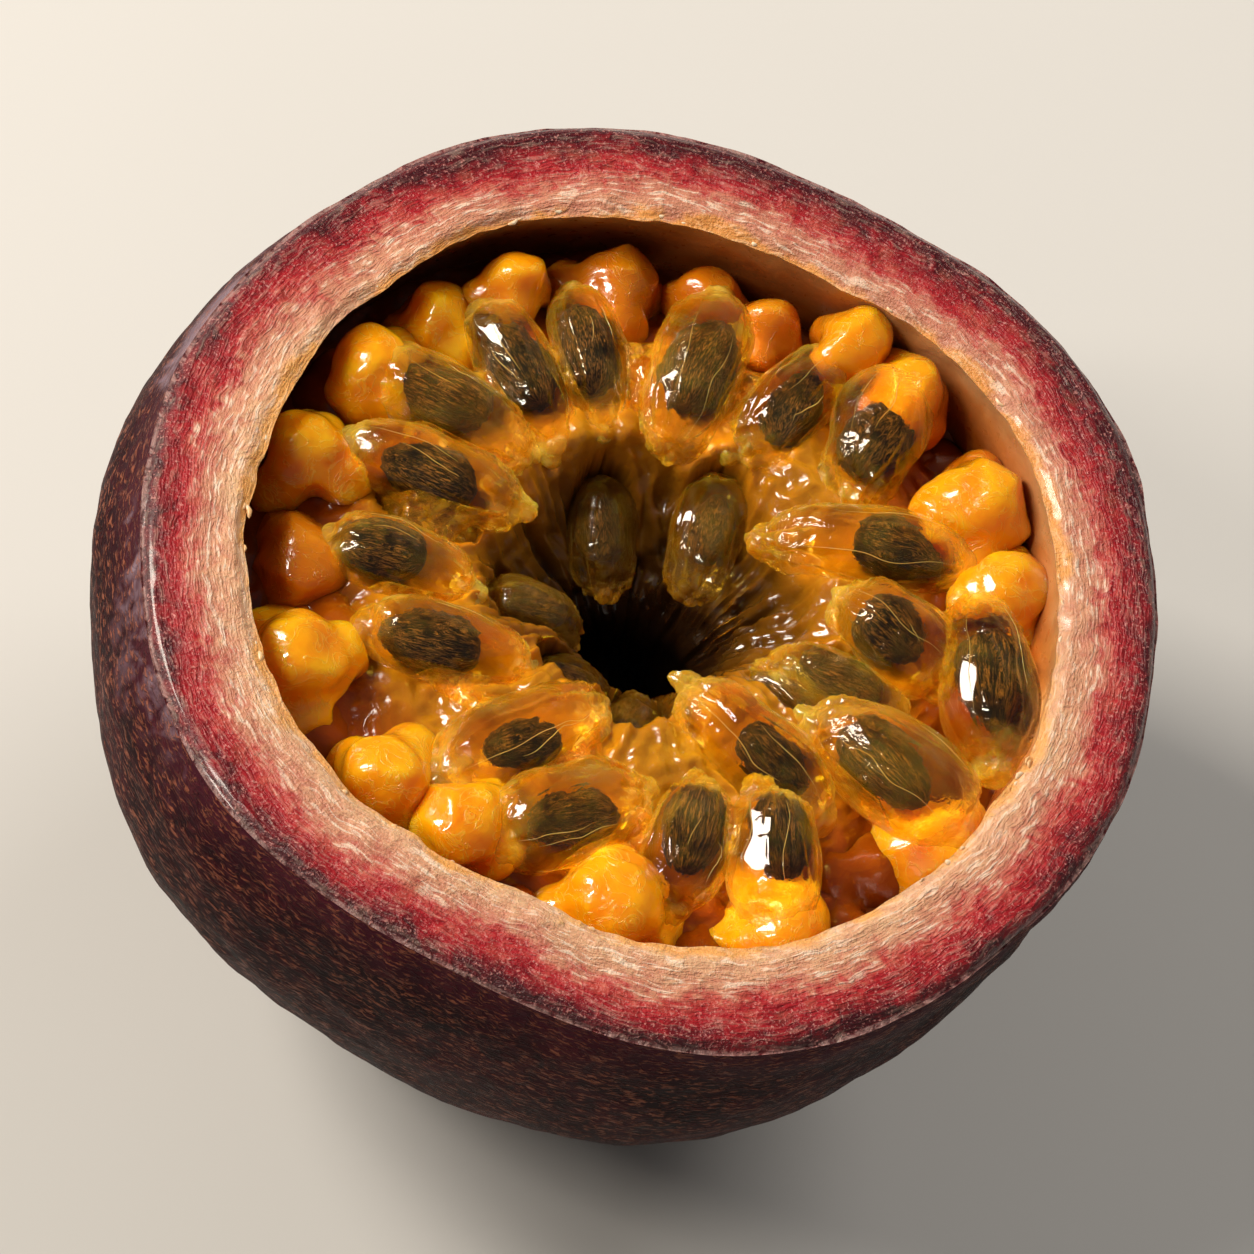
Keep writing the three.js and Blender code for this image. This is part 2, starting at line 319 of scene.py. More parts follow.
def milky_jelly(f, colour, ior, weight, scale, normal):
    """Jelly that light goes into and not through, under the same coat as the clear."""
    return f.principled(
        Base_Color=colour,
        Roughness=0.12,
        IOR=ior,
        **soft(weight, (1.0, 0.7, 0.15), scale),
        Coat_Weight=1.0,
        Coat_Roughness=0.03,
        Normal=normal,
    )


def clear_jelly(f, tint, roughness, ior, normal):
    """Jelly that is seen through, under a thin wet coat."""
    return f.principled(
        Base_Color=tone(tint),
        Roughness=roughness,
        IOR=ior,
        Transmission_Weight=1.0,
        Coat_Weight=1.0,
        Coat_IOR=1.5,
        Coat_Roughness=0.03,
        Normal=normal,
    )


# ---- Finishes ----


def skin_finish():
    """Dark, waxy purple skin with fine paler ridges, and tan dashes that run round the fruit: partly
    pale specks, partly painted glints on its ridges.
    """
    f = Finish("purple_skin")
    broad = f.noise(9.0, 3, wander=0.6)
    blotch = f.noise(1.6, 4, wander=1.2)
    _, _, up = f.axes()
    side_x, side_y = f.round_the_fruit(RIM_SHIFT * 0.5)
    dash_place = f.vector(side_x * 8.0, side_y * 8.0, up + (blotch - 0.5) * 0.8)
    dashes = f.noise(0.17, 3, dash_place, 0.5)
    specks_and_glints = f.step(dashes, 0.51, 0.62)
    ridge = abs(f.noise(0.7, 3, dash_place, 1.0) - 0.5)
    crest = 1 - f.step(ridge, 0.0, 0.06)
    near_rim = f.step(up + f.noise(1.5, 3) * 3.0, RIM_Z - 3.6, RIM_Z + 1.4)
    lilac_patch = f.step(broad * 0.7 + blotch * 0.3, 0.50, 0.62)
    base = f.ramp(broad * 0.5 + blotch * 0.5, (0.3, "0e0205"), (0.5, "1e050b"), (0.7, "3a0c16"))
    base = f.mix(near_rim * 0.6, base, "4c1626")
    # A pale lilac band near the rim, on the left side only.
    left = f.step(side_x * -1, 0.45, 0.95)
    base = f.mix(near_rim * lilac_patch * left * 0.65, base, "a894a2")
    # Tan dashes: partly the skin's pale specks, partly painted glints.
    base = f.mix(specks_and_glints * 0.62 * f.step(blotch, 0.3, 0.6), base, "a05c40")
    base = f.mix(crest * 0.2, base, "6a2c2c")
    relief = specks_and_glints * 0.8 + crest * 0.4 + blotch * 0.5
    return f.plain(
        Base_Color=base,
        Roughness=0.44 + blotch * 0.2 - specks_and_glints * 0.15,
        Specular_IOR_Level=0.05,
        Normal=f.bump(relief, 0.10, 1.0),
    )


def flesh_finish():
    """The cut face: burgundy under the skin, crimson, mottled pink, then fibrous cream pith."""
    f = Finish("cut_flesh")
    depth = f.attribute("inward")
    # The fibres lie along the rim: the place is squeezed round the fruit, so noise comes out long.
    rim_x, rim_y = f.round_the_fruit(RIM_SHIFT)
    bent = depth + (f.noise(2.6, 2) - 0.5) * 0.9
    fibre_place = f.vector(rim_x * 4.0, rim_y * 4.0, bent)
    fibre = f.noise(0.20, 3, fibre_place, 0.25)
    strand = f.noise(0.55, 2, fibre_place, 0.2)
    broad = f.noise(4.5, 2)
    mottle = f.noise(0.85, 3, wander=1.0)
    grain = f.noise(0.17, 2, wander=0.5)
    behind = f.step(rim_y, -0.1, 0.95)
    level = depth + (broad - 0.5) * 2.8 + (mottle - 0.5) * 3.0 + (strand - 0.5) * 1.6
    level = level - behind * 0.9
    base = f.ramp(
        level / 6.0,
        (0.02, "450512"),
        (0.10, "690a17"),
        (0.22, "930e1b"),
        (0.35, "ab1a24"),
        (0.44, "bd4a42"),
        (0.55, "c67c64"),
        (0.71, "d59a78"),
        (0.95, "e2b68c"),
    )
    pale = f.step(level, 2.3, 3.6)
    base = f.mix(behind * pale * 0.45, base, "c87a64")
    light = f.step(fibre, 0.52, 0.64) * (0.12 + pale * 0.58) * f.step(broad, 0.25, 0.55)
    base = f.mix(light, base, "f7dec6")
    base = f.mix(f.step(fibre, 0.46, 0.34) * (0.45 - pale * 0.30), base, "7a1a1c")
    # Pale pink dots on the red zone: painted glints of its wet grain.
    base = f.mix(f.step(grain, 0.58, 0.68) * (1 - pale) * 0.5, base, "e39c94")
    sponge = f.step(f.cells(1.4) + (mottle - 0.5) * 0.5, 0.48, 0.18)
    base = f.mix(sponge * (1 - pale) * f.step(depth, 0.8, 2.4) * 0.28, base, "c4664f")
    skin_line = 1 - f.step(depth + (grain - 0.5) * 0.1, 0.05, 0.15)
    base = f.mix(skin_line * f.step(mottle, 0.36, 0.6) * 0.6, base, "b8928c")
    stain = f.step(depth + (broad - 0.5) * 3.4 + (mottle - 0.5) * 0.8, 5.1, 5.7)
    base = f.mix(stain * 0.6, base, "ec9a20")
    relief = fibre * (0.7 - pale * 0.35) + mottle * 0.8 + grain * 0.45
    glint = f.noise(0.11, 1, fibre_place)
    return f.plain(
        Base_Color=base,
        Roughness=0.3 + mottle * 0.3,
        Specular_IOR_Level=0.5,
        **soft(0.12, (1.0, 0.35, 0.2), 0.8),
        Coat_Weight=0.5,
        Coat_Roughness=0.14,
        Normal=f.bump(relief + glint * 0.5, 0.22, 1.0),
    )


def lining_finish():
    """The pith's inner wall, browner and darker lower down."""
    f = Finish("pith_lining")
    _, _, up = f.axes()
    broad = f.noise(3.5, 3, wander=0.8)
    fine = f.noise(0.7, 3)
    level = (RIM_Z - up) + (broad - 0.5) * 3.0
    base = f.ramp(
        level / 10.0,
        (0.0, "e6bd8c"),
        (0.12, "d29e68"),
        (0.28, "bc763c"),
        (0.5, "94480f"),
        (0.9, "4e2007"),
    )
    return f.plain(
        Base_Color=base,
        Roughness=0.22 + fine * 0.15,
        **soft(0.2, (1.0, 0.5, 0.2), 1.2),
        Coat_Weight=0.4,
        Coat_Roughness=0.12,
        Normal=f.bump(broad * 0.8 + fine * 0.4, 0.15, 0.7),
    )


def bed_finish():
    """Wet jelly between and under the sacs: golden on the folds, with painted shade that darkens it
    with depth to brown and near black in the hollow and by the wall.
    """
    f = Finish("wet_jelly")
    depth = f.attribute("shade_depth")
    outward = f.attribute("outward")
    broad = f.noise(2.8, 3, wander=0.4)
    fine = f.noise(0.7, 2)
    ripple = f.noise(0.35, 2, wander=1.0)
    # Painted shade: both ramps darken the jelly the deeper it lies under the cut.
    level = depth + (broad - 0.5) * 2.5
    inner = f.ramp(
        level / 20.0,
        (0.14, "c08414"),
        (0.24, "a86a0e"),
        (0.34, "80500c"),
        (0.46, "563408"),
        (0.60, "2c1808"),
        (0.80, "0a0503"),
    )
    outer = f.ramp(
        level / 12.0, (0.25, "b05c04"), (0.42, "883c03"), (0.60, "642803"), (0.85, "3c1603")
    )
    by_wall = f.step(outward + (broad - 0.5) * 4.0, 14.5, 18.5)
    base = f.mix(by_wall, inner, outer)
    return f.plain(
        Base_Color=base,
        Roughness=0.12,
        IOR=1.38,
        **soft(0.6, (1.0, 0.65, 0.12), 1.0),
        Specular_IOR_Level=0.3,
        Coat_Weight=1.0 - by_wall * 0.5,
        Coat_Roughness=0.05,
        Normal=f.bump(broad * 0.6 + fine * 0.3 + ripple * 0.22, 0.22, 0.8),
    )


def bulb_finish():
    """Smooth, wet, bright orange-yellow bulbs, with painted shade that browns them lower down and
    further back.
    """
    f = Finish("stalk_bulb")
    broad = f.noise(2.6, 2, wander=0.5)
    fine = f.noise(0.6, 2)
    vein = 1 - f.step(abs(f.noise(1.7, 3, wander=1.6) - 0.5), 0.0, 0.035)
    base = f.ramp(broad, (0.32, "f08c06"), (0.5, "faa208"), (0.7, "ffb414"))
    base = f.mix(vein * 0.35, base, "ffd24c")
    # Painted shade: the more depth a place has, real or added for shade, the browner it turns.
    low = f.step(f.attribute("shade_depth") + (broad - 0.5) * 2.0, 4.2, 8.0)
    base = f.mix(low * 0.85, base, "b85c08")
    return f.plain(
        Base_Color=base,
        Roughness=0.2,
        IOR=1.4,
        **soft(0.9, (1.0, 0.65, 0.05), 2.4),
        Coat_Weight=1.0,
        Coat_Roughness=0.05,
        Normal=f.bump(broad + fine * 0.5 + vein * 0.25, 0.2, 0.8),
    )


def gel_finish():
    """Clear golden jelly round a seed, milkier at its ends and edges, with a wrinkled skin; in deep
    sacs the milky part carries painted shade.
    """
    f = Finish("sac_gel")
    broad = f.noise(2.4, 2, wander=0.6)
    fine = f.noise(0.55, 3, wander=0.8)
    end = f.attribute("end")
    crinkle = f.noise(0.8, 2, wander=1.5) * f.step(end, 0.45, 0.95)
    normal = f.bump(broad * 0.5 + fine * 0.5 + crinkle * 1.3, 0.16, 0.85)
    clear = clear_jelly(f, "fff6c8", 0.04, 1.24, normal)
    golden = f.ramp(broad, (0.35, "eca41a"), (0.65, "f8ce54"))
    # Painted shade: the milky jelly turns dark brown the deeper the sac lies.
    base = f.mix(f.step(f.attribute("shade_depth"), 4.5, 9.5) * 0.8, golden, "84500a")
    milky = milky_jelly(f, base, 1.38, 1.0, 1.6, normal)
    edge = f.node("ShaderNodeLayerWeight", None, {"Blend": 0.3, "Normal": normal}, out="Facing")
    share = f.attribute("veil") + edge**2 * 0.95 + (broad - 0.5) * 0.18
    share = share + f.step(end + (broad - 0.5) * 0.5, 0.60, 1.15) * 0.35
    skin = f.node("ShaderNodeMixShader", None, {0: share, 1: clear, 2: milky})
    juice = f.node(
        "ShaderNodeVolumeAbsorption", None, {"Color": (0.985, 0.91, 0.08, 1), "Density": 680.0}
    )
    return f.end(skin, juice)


def seed_finish():
    """Charcoal seeds with fine golden-brown fibres along them."""
    f = Finish("seed")
    run = f.node("ShaderNodeTexCoord", out="UV")
    warp = f.node(
        "ShaderNodeVectorMath", {"operation": "MULTIPLY"}, {0: f.place, 1: (0.8, 0.8, 0.8)}
    )  # another part of the pattern on each seed
    along = f.node(
        "ShaderNodeVectorMath", {"operation": "MULTIPLY_ADD"}, {0: run, 1: (250, 12, 1), 2: warp}
    )
    strands = f.noise(1.0, 4, along, 1.0)
    broad = f.noise(1.3, 3)
    thread = f.step(strands, 0.51, 0.61) * f.step(broad, 0.26, 0.58)
    base = f.mix(broad, "060201", "100502")
    base = f.mix(thread * 0.54, base, "ae7642")
    return f.plain(
        Base_Color=base,
        Roughness=0.42,
        Specular_IOR_Level=0.12,
        Normal=f.bump(strands, 0.08, 0.8),
    )


def film_finish():
    """Thin golden skins of jelly stretched between neighbouring sacs."""
    f = Finish("jelly_film")
    broad = f.noise(1.6, 3, wander=0.8)
    folds = f.noise(0.5, 3, wander=0.6)
    normal = f.bump(broad * 0.6 + folds * 0.5, 0.2, 0.9)
    clear = clear_jelly(f, "f6d078", 0.06, 1.12, normal)
    base = f.ramp(broad, (0.35, "c98410"), (0.65, "eeb42c"))
    milky = milky_jelly(f, base, 1.5, 0.8, 0.8, normal)
    share = f.step(folds * 0.5 + broad * 0.5, 0.44, 0.68) * 0.35 + 0.06
    return f.end(f.node("ShaderNodeMixShader", None, {0: share, 1: clear, 2: milky}))


def strand_finish():
    """Fine pale golden threads of jelly."""
    f = Finish("jelly_strand")
    broad = f.noise(1.5, 2)
    return f.plain(
        Base_Color=f.mix(broad, "b98a30", "e6c478"),
        Roughness=0.15,
        Subsurface_Weight=0.5,
        Subsurface_Scale=0.4 * MM,
        Coat_Weight=1.0,
    )


def nib_finish():
    """Dry, torn edges of the pith."""
    f = Finish("pith_nib")
    patch = f.noise(0.8, 2)
    return f.plain(
        Base_Color=f.mix(f.step(patch, 0.4, 0.6), "ecd6b8", "e2b27c"),
        Roughness=0.35,
        Normal=f.bump(patch, 0.1),
    )


def floor_finish():
    f = Finish("studio_floor")
    patch = f.noise(60, 2)
    return f.plain(Base_Color=f.mix(patch, "d2d0cd", "d8d6d4"), Roughness=0.6)


# ---- Shaping tools ----


def pick(*pieces):
    """Selects these pieces and nothing else."""
    if bpy.context.object and bpy.context.object.mode != "OBJECT":
        bpy.ops.object.mode_set(mode="OBJECT")
    bpy.ops.object.select_all(action="DESELECT")
    for piece in pieces:
        piece.select_set(True)
        bpy.context.view_layer.objects.active = piece


def shaped_by(piece, kind, **settings):
    """Adds a modifier to a piece and applies it."""
    pick(piece)
    modifier = piece.modifiers.new(kind, kind)
    for name, value in settings.items():
        setattr(modifier, name, value)
    bpy.ops.object.modifier_apply(modifier=modifier.name)


def ruffled(piece, name, size, height, direction="NORMAL", group=""):
    """Lifts and sinks the surface by soft noise: its lumps' size and height in millimetres."""
    clouds = bpy.data.textures.new(name, "CLOUDS")
    clouds.noise_scale = size
    clouds.noise_depth = 2
    shaped_by(
        piece,
        "DISPLACE",
        texture=clouds,
        texture_coords="LOCAL",
        direction=direction,
        strength=height,
        mid_level=0.5,
        vertex_group=group,
    )


def fixed(piece, place=None):
    """Puts a piece's place, turn and size into its mesh."""
    if place is not None:
        piece.matrix_world = place
    pick(piece)
    bpy.ops.object.transform_apply(location=True, rotation=True, scale=True)


def joined(pieces, name):
    pick(*pieces)
    bpy.ops.object.join()
    piece = bpy.context.object
    piece.name = name
    return piece


def sewn(piece, within):
    """Merges the corners that meet, and turns every face outwards."""
    pick(piece)
    bpy.ops.object.mode_set(mode="EDIT")
    bpy.ops.mesh.select_all(action="SELECT")
    bpy.ops.mesh.remove_doubles(threshold=within)
    bpy.ops.mesh.normals_make_consistent(inside=False)
    bpy.ops.object.mode_set(mode="OBJECT")


def corners(piece):
    flat = np.empty(len(piece.data.vertices) * 3)
    piece.data.vertices.foreach_get("co", flat)
    return flat.reshape(-1, 3)


def move_corners(piece, places):
    piece.data.vertices.foreach_set("co", np.asarray(places, dtype=float).ravel())
    piece.data.update()


def outward_at(piece):
    """The direction that the surface faces at each corner."""
    flat = np.empty(len(piece.data.vertices) * 3)
    piece.data.vertex_normals.foreach_get("vector", flat)
    return flat.reshape(-1, 3)


def melted(pieces, name, grain, smooth):
    """Several closed pieces run together into one soft one."""
    piece = joined(pieces, name)
    shaped_by(piece, "REMESH", mode="VOXEL", voxel_size=grain)
    shaped_by(piece, "SMOOTH", factor=0.5, iterations=smooth)
    return piece


def mark(piece, name, values):
    """Keeps a number at each corner for the shader."""
    layer = piece.data.attributes.new(name, "FLOAT", "POINT")
    layer.data.foreach_set("value", np.asarray(values, dtype=float))


def noise_at(places, size, seed, ridged=False):
    """Noise from -1 to 1 at each place, or its crests from 0 to 1."""
    shift = Vector((seed * 7.3, seed * 3.1, seed * 5.7))
    values = np.array([noise.noise(Vector(p) / size + shift) for p in places])
    return 1 - np.abs(values) * 2 if ridged else values


def smooth_step(values, low, high):
    t = np.clip((np.asarray(values, dtype=float) - low) / (high - low), 0, 1)
    return t * t * (3 - 2 * t)


def paint(piece, *materials):
    piece.data.materials.clear()
    for material in materials:
        piece.data.materials.append(material)


def settle(piece, slot, *nodes):
    """Brings a finished piece into metres, hangs it under the root, and hides the solids that it stands
    in for.
    """
    piece.scale = (MM, MM, MM)
    fixed(piece)
    bpy.ops.object.shade_smooth_by_angle(angle=math.radians(60))
    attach(piece, "root")
    if nodes:
        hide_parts(*nodes)


def widen(places, by, about=0.0):
    """Scales places away from the upright axis at x = `about`."""
    places[:, 0] = about + (places[:, 0] - about) * by
    places[:, 1] *= by


def outline_swell(bearing, share):
    """How the fruit's uneven outline widens it at each bearing, where `share` of it counts."""
    swell = np.ones(len(bearing))
    for lobes, size, turn in OUTLINE_WAVES:
        swell += share * size * np.cos(lobes * (bearing - math.radians(turn)))
    return swell


def fruit_shape(places):
    """Gives round layers the fruit's uneven outline, and their lean towards the cut."""
    places = np.array(places, dtype=float)
    across = np.hypot(places[:, 0], places[:, 1])
    bearing = np.arctan2(places[:, 1], places[:, 0])
    sideways = across**2 / (across**2 + (places[:, 2] - BELLY_Z) ** 2 + 1e-9)
    widen(places, outline_swell(bearing, sideways))
    places[:, 0] += RIM_SHIFT * smooth_step(places[:, 2], BELLY_Z, RIM_Z)
    return places


def ball(name, segments, rings, radius=1.0, at=(0, 0, 0), turn=(0, 0, 0)):
    pick()
    bpy.ops.mesh.primitive_uv_sphere_add(
        segments=segments, ring_count=rings, radius=radius, location=at, rotation=turn
    )
    piece = bpy.context.object
    piece.name = name
    fixed(piece)
    return piece


# ---- Rind and pith ----


def bowl(name, radius, rings):
    """A ball cut off level with the cut face."""
    piece = ball(name, SIDES, rings, radius, (0, 0, BELLY_Z))
    pick(piece)
    bpy.ops.object.mode_set(mode="EDIT")
    bpy.ops.mesh.select_all(action="SELECT")
    bpy.ops.mesh.bisect(
        plane_co=(0, 0, RIM_Z), plane_no=(0, 0, 1), clear_outer=True, threshold=1e-4
    )
    bpy.ops.object.mode_set(mode="OBJECT")
    return piece


def cup(name, outside, inside, outer_rings, inner_rings, cuts):
    """Two bowls, one in the other, joined by the flat ring of the cut."""
    outer = bowl(name, outside, outer_rings)
    inner = bowl(name + "_inner", inside, inner_rings)
    rings = [math.sqrt(radius**2 - CUT_RISE**2) for radius in (outside, inside)]
    radii = np.linspace(*rings, cuts + 1)
    for vertex in outer.data.vertices:
        vertex.select = abs(vertex.co.z - RIM_Z) < 1e-3
    for edge in outer.data.edges:
        edge.select = all(outer.data.vertices[i].select for i in edge.vertices)
    for face in outer.data.polygons:
        face.select = False
    pick(outer)
    bpy.ops.object.mode_set(mode="EDIT")
    bpy.ops.mesh.select_mode(type="EDGE")
    for before, after in zip(radii, radii[1:]):
        bpy.ops.mesh.extrude_edges_move()
        size = after / before
        bpy.ops.transform.resize(value=(size, size, 1), center_override=(0, 0, RIM_Z))
    bpy.ops.object.mode_set(mode="OBJECT")
    piece = joined([inner, outer], name)
    sewn(piece, 0.01)
    return piece


def cut_relief(piece):
    """Roughens the cut face, the same way on both sides of a seam."""
    places = corners(piece)
    on_cut = places[:, 2] > RIM_Z - 0.02
    group = piece.vertex_groups.new(name="cut")
    group.add([int(i) for i in np.flatnonzero(on_cut)], 1.0, "REPLACE")
    for name, size, height in (
        ("cut_swell", 4.0, 0.5),
        ("cut_pulp", 1.3, 0.26),
        ("cut_fibre", 0.5, 0.12),
    ):
        ruffled(piece, name, size, height, "Z", "cut")


def inward_of(places):
    """How far each place lies inside the skin, before the fruit gets its uneven outline."""
    return BODY_RADIUS - np.hypot(np.hypot(places[:, 0], places[:, 1]), places[:, 2] - BELLY_Z)


def face_slots(piece, choose):
    """Gives each face the material slot that `choose` picks from its middle and normal."""
    for face in piece.data.polygons:
        face.material_index = choose(face.center, face.normal)


def make_rind(skin, flesh):
    """The skin and the red flesh: a cup whose outer wall and cut edge are seen."""
    inside = BODY_RADIUS - RIND_THICKNESS - SEAM_LAP
    piece = cup("rind_shell", BODY_RADIUS, inside, outer_rings=150, inner_rings=24, cuts=24)
    places = corners(piece)
    inward = inward_of(places)
    # The skin's edge is rounded over, and the foot is flat.
    near_edge = (places[:, 2] > RIM_Z - 1e-3) * np.clip(1 - inward / EDGE_WIDTH, 0, 1)
    places[:, 2] -= EDGE_DROP * near_edge**2
    places[:, 2] = np.maximum(places[:, 2], 0)
    move_corners(piece, places)
    mark(piece, "inward", inward)
    paint(piece, skin, flesh)
    face_slots(piece, lambda middle, normal: int(middle.z > RIM_Z - 0.7 and normal.z > 0.3))
    cut_relief(piece)
    places = corners(piece)
    under_pith = smooth_step(inward, RIND_THICKNESS, RIND_THICKNESS + SEAM_LAP)
    places[:, 2] -= SEAM_DIP * under_pith * (places[:, 2] > RIM_Z - 1)
    move_corners(piece, places)
    # The skin is uneven, but not at the foot.
    group = piece.vertex_groups.new(name="skin")
    for i in np.flatnonzero(inward < 0.05):
        group.add([int(i)], float(smooth_step(places[i, 2], 0.3, 4.0)), "REPLACE")
    for name, size, height in (("skin_swell", 9.0, 0.8), ("skin_dimple", 2.4, 0.26)):
        ruffled(piece, name, size, height, group="skin")
    move_corners(piece, fruit_shape(corners(piece)))
    settle(piece, "rind", "rind")


def make_pith(flesh, lining):
    """The pale lining inside the rind, whose cut goes on from the rind's."""
    outside, inside = BODY_RADIUS - RIND_THICKNESS + SEAM_LAP, BODY_RADIUS - SHELL_THICKNESS
    piece = cup("pith_lining", outside, inside, outer_rings=24, inner_rings=60, cuts=16)
    places = corners(piece)
    inward = inward_of(places)
    mark(piece, "inward", inward)
    paint(piece, flesh, lining)
    centre = Vector((0, 0, BELLY_Z))
    face_slots(
        piece,
        lambda middle, _: int((middle - centre).length < inside + 0.2 and middle.z < RIM_Z - 0.02),
    )
    cut_relief(piece)
    places = corners(piece)
    under_rind = 1 - smooth_step(inward, RIND_THICKNESS - SEAM_LAP, RIND_THICKNESS)
    places[:, 2] -= SEAM_DIP * under_rind * (places[:, 2] > RIM_Z - 1)
    # The inner edge wanders, and its lip is soft.
    inner = smooth_step(inward, SHELL_THICKNESS - 0.9, SHELL_THICKNESS) * smooth_step(
        places[:, 2], RIM_Z - 5, RIM_Z
    )
    wander = noise_at(places * (1, 1, 0.3), 5.0, 1) + 0.35 * noise_at(places * (1, 1, 0.3), 1.3, 2)
    widen(places, 1 + inner * wander * EDGE_WANDER)
    lip = smooth_step(inward, SHELL_THICKNESS - 0.8, SHELL_THICKNESS)
    places[:, 2] -= LIP_DROP * lip * (places[:, 2] > RIM_Z - 1)
    move_corners(piece, fruit_shape(places))
    settle(piece, "pith", "pith")


# ---- Pulp ----

TIPS, SEAMS, THREADS = 3, 4, 2  # of each sac: gathered ends, long seams, fine threads
LUMPS = 64  # of jelly by the wall
NIBS = 60  # torn flakes of pith


def pulp_place(bearing, distance, depth, turn=0.0, rise=0.0):
    """Where a piece of the pulp lies: its outer end is at its own +X."""
    at = math.radians(bearing)
    spot = Matrix.Translation(
        (RIM_SHIFT + distance * math.cos(at), distance * math.sin(at), RIM_Z - depth)
    )
    spin = Matrix.Rotation(math.radians(bearing + turn), 4, "Z")
    return spot @ spin @ Matrix.Rotation(-math.radians(rise), 4, "Y")


def egg(name, segments, rings, half, thick, flat=1.0, blunt=0.8, taper=0.12):
    """An egg along X: blunter than an ellipsoid, and fuller at its outer end."""
    piece = ball(name, segments, rings, 1.0, turn=(0, math.pi / 2, 0))
    places = corners(piece)
    along = np.clip(places[:, 0], -1, 1)
    level = np.hypot(places[:, 1], places[:, 2])
    grow = np.where(level > 1e-6, np.maximum(level, 1e-6) ** (blunt - 1), 0) * (1 + taper * along)
    places[:, 0] *= half
    places[:, 1] *= thick * grow
    places[:, 2] *= thick * grow * flat
    move_corners(piece, places)
    return piece


def make_sac(name, row, gel, seed_skin):
    """One sac of clear jelly and its seed; returns the threads that lie on it."""
    bearing, distance, depth, turn, rise, length, width, seed_along, seed_across, seed_length = row
    place = pulp_place(bearing, distance, depth, turn, rise)
    half, thick = length / 2, width / 2
    deep = name.startswith("deep")
    dice = random.Random(name)
    # An egg, a stub towards its bulb, and tips where its inner end is gathered.
    lumps = [egg(name + "_egg", 48, 40, half, thick, taper=0.2)]
    lumps.append(ball(name + "_stub", 20, 16, thick * 0.5, (half * 0.92, 0, -0.15 * thick)))
    for _ in range(TIPS):
        reach, girth = half * dice.uniform(0.2, 0.34), thick * dice.uniform(0.16, 0.28)
        tip = egg(name + "_tip", 20, 16, reach, girth)
        angle = dice.uniform(0, math.tau)
        off = thick * dice.uniform(0.0, 0.32)
        at = (-half * dice.uniform(0.72, 0.9), off * math.cos(angle), off * math.sin(angle) * 0.8)
        move_corners(tip, corners(tip) + at)
        lumps.append(tip)
    piece = melted(lumps, name + "_gel", 0.15, 7)
    places = corners(piece)
    along = places[:, 0] / half
    angle = np.arctan2(places[:, 2], places[:, 1])
    tag = bearing * 0.37 + depth
    inner = smooth_step(-along, 0.15, 0.95)
    outer = smooth_step(along, 0.45, 1.0)
    rise_by = noise_at(places, 2.4, tag) * 0.24
    rise_by += noise_at(places * (0.4, 1, 1), 0.9, tag, ridged=True) * (
        0.04 + 0.14 * inner + 0.15 * outer
    )
    # Pleats that run together at the gathered end.
    round_it = np.stack([np.cos(angle) * 2.2, np.sin(angle) * 2.2, along * 1.3], axis=1)
    waist = np.clip(np.hypot(places[:, 1], places[:, 2]) / thick * 1.6, 0, 1)
    rise_by += noise_at(round_it, 1.0, tag + 2, ridged=True) * inner * waist * 0.42
    rise_by += noise_at(places * (0.7, 1, 1), 0.4, tag + 5, ridged=True) * (0.15 * inner + 0.05 * outer)
    # A few long seams that catch the light.
    for k in range(SEAMS):
        seam = math.pi * (0.15 + 0.24 * k) + dice.uniform(-0.3, 0.3)
        bend = 0.35 * noise_at(places * (0.25, 0, 0), 1.0, tag + k)
        ridge = np.exp(-(((angle - seam + bend) / 0.06) ** 2))
        rise_by += 0.09 * ridge * np.clip(1 - along**2, 0, 1)
    places = places + outward_at(piece) * rise_by[:, None]
    places[:, 2] -= 0.7 * inner**2
    mark(piece, "end", np.abs(along))
    veil = VEILS.get(name, DEEP_VEIL if deep else UPPER_VEIL)
    mark(piece, "veil", np.full(len(places), veil))
    # The depth under the cut, by which the shader paints shade on deep sacs.
    mark(piece, "shade_depth", [RIM_Z - (place @ Vector(p)).z for p in places])
    move_corners(piece, places)
    fixed(piece, place)
    paint(piece, gel)
    threads = 0 if deep else THREADS
    strands = [strand_over(piece, place, half, thick, dice) for _ in range(threads)]
    piece.visible_shadow = False
    settle(piece, "sac_gel", name)

    girth = seed_length * SEED_GIRTH.get(name, USUAL_GIRTH)
    seed = egg(name + "_seed", 40, 30, seed_length / 2, girth, flat=0.8, blunt=0.95, taper=-0.2)
    places = corners(seed)
    move_corners(seed, places + outward_at(seed) * noise_at(places, 1.1, tag)[:, None] * 0.18)
    tilt = Matrix.Rotation(math.radians(dice.uniform(-14, 14)), 4, "Z")
    fixed(seed, place @ Matrix.Translation((seed_along, seed_across, 0.1)) @ tilt)
    paint(seed, seed_skin)
    settle(seed, "seed")
    return strands


def strand(points, radius):
    """A fine thread through these points, thinner at its ends."""
    pick()
    bpy.ops.curve.primitive_nurbs_path_add()
    piece = bpy.context.object
    run = piece.data.splines[0]
    run.points.add(len(points) - len(run.points))
    for i, point in enumerate(points):
        run.points[i].co = (*point, 1)
        run.points[i].radius = 0.25 + 0.75 * math.sin(math.pi * i / (len(points) - 1))
    run.order_u = 3
    run.use_endpoint_u = True
    piece.data.resolution_u = 3
    piece.data.bevel_depth = radius
    piece.data.bevel_resolution = 1
    pick(piece)
    bpy.ops.object.convert(target="MESH")
    return piece


